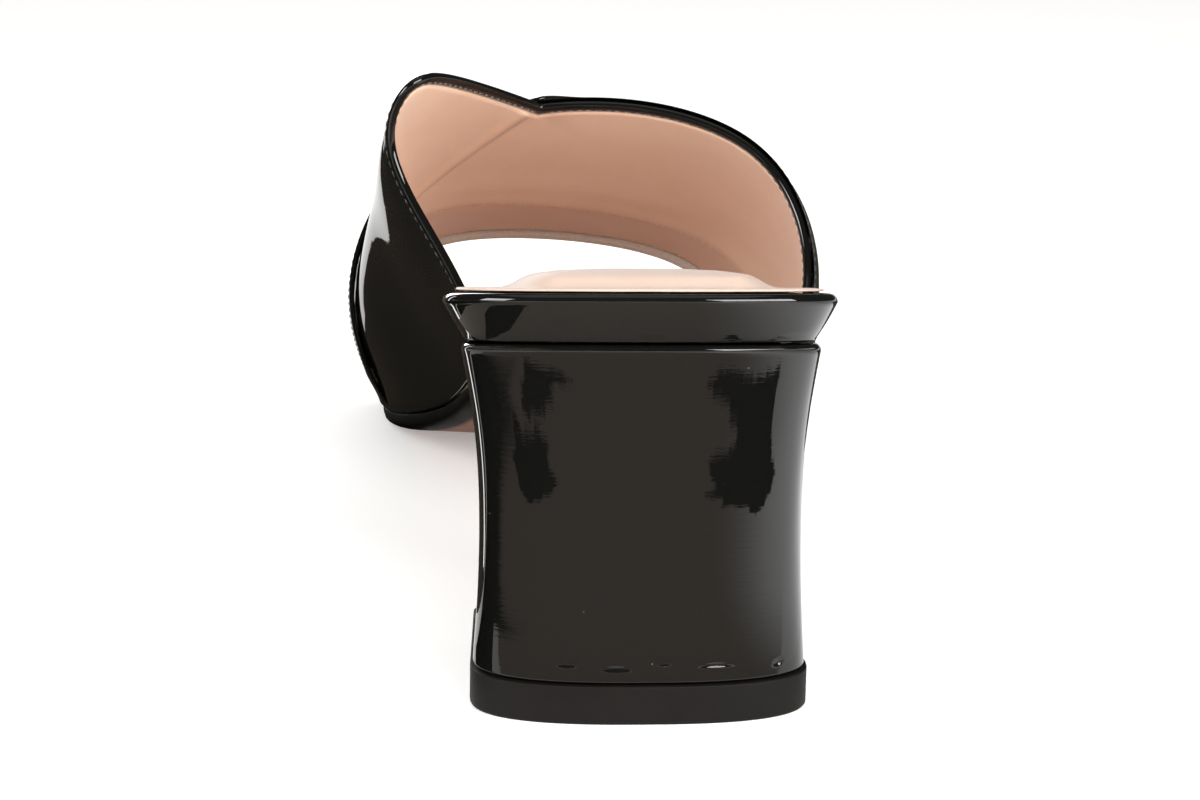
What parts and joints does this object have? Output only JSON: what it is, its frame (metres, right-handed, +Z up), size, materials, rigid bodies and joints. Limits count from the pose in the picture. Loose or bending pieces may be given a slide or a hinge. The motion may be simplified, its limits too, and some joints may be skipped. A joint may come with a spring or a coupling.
{
  "type": "patent leather mule",
  "caption": "Black patent leather mule with a lapped open-toe vamp, padded nude insole, flared heel seat rim and covered block heel, right foot.",
  "frame": {"origin": "floor level, under the middle of the shoe's length and width", "axes": "+Y towards the toe, +X towards the outer side of the right foot, +Z up from the floor"},
  "size_m": [0.0868, 0.247, 0.0835],
  "materials": {
    "patent": "high gloss black patent",
    "lining": "matt nude lining leather",
    "sole": "natural brown sole leather with a black edge",
    "lift": "matt black rubber"
  },
  "bodies": {
    "root": {"upper": "patent", "cross_panel": "patent", "insole_board": "patent", "sock_lining": "lining", "outsole": "sole", "heel_block": "patent", "heel_top_piece": "lift"}
  },
  "joints": []
}
